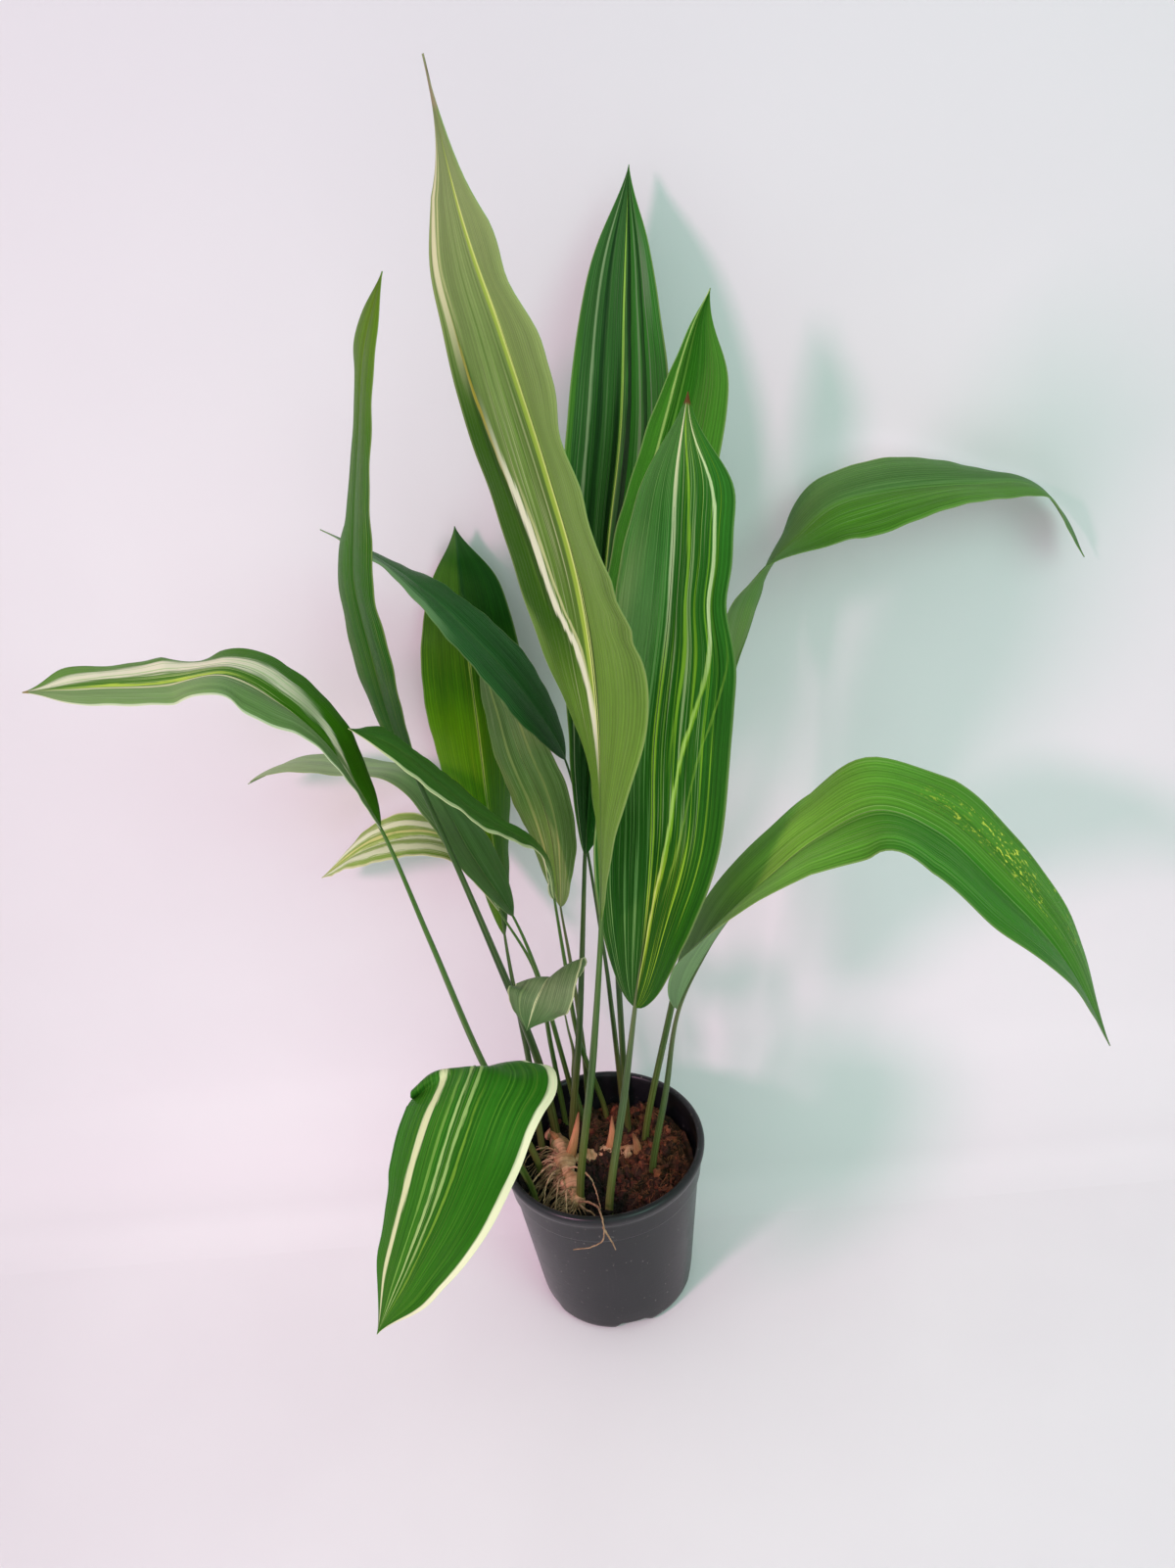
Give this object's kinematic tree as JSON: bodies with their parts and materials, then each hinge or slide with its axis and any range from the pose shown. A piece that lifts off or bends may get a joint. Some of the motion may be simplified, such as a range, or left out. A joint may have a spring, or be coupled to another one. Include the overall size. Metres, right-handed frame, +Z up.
{
  "type": "potted cast iron plant",
  "caption": "Cast iron plant with long striped and plain green leaves on thin stalks, growing from bark compost in a round tapered plastic nursery pot.",
  "frame": {"origin": "centre of the pot's flat bottom, on the plane the plant rests on", "axes": "+Z up, the pot's front towards -Y, +X to the right seen from the front"},
  "size_m": [0.6255, 0.3775, 0.8046],
  "materials": {
    "pot": "satin",
    "soil": "matte",
    "rhizome": "matte",
    "leaf": "satin"
  },
  "bodies": {
    "root": {"pot": "pot", "soil": "soil", "rhizome": "rhizome", "leaf_01": "leaf", "leaf_02": "leaf", "leaf_03": "leaf", "leaf_04": "leaf", "leaf_05": "leaf", "leaf_06": "leaf", "leaf_07": "leaf", "leaf_08": "leaf", "leaf_09": "leaf", "leaf_10": "leaf", "leaf_11": "leaf", "leaf_12": "leaf", "leaf_13": "leaf", "leaf_14": "leaf", "leaf_15": "leaf", "leaf_16": "leaf"}
  },
  "joints": []
}
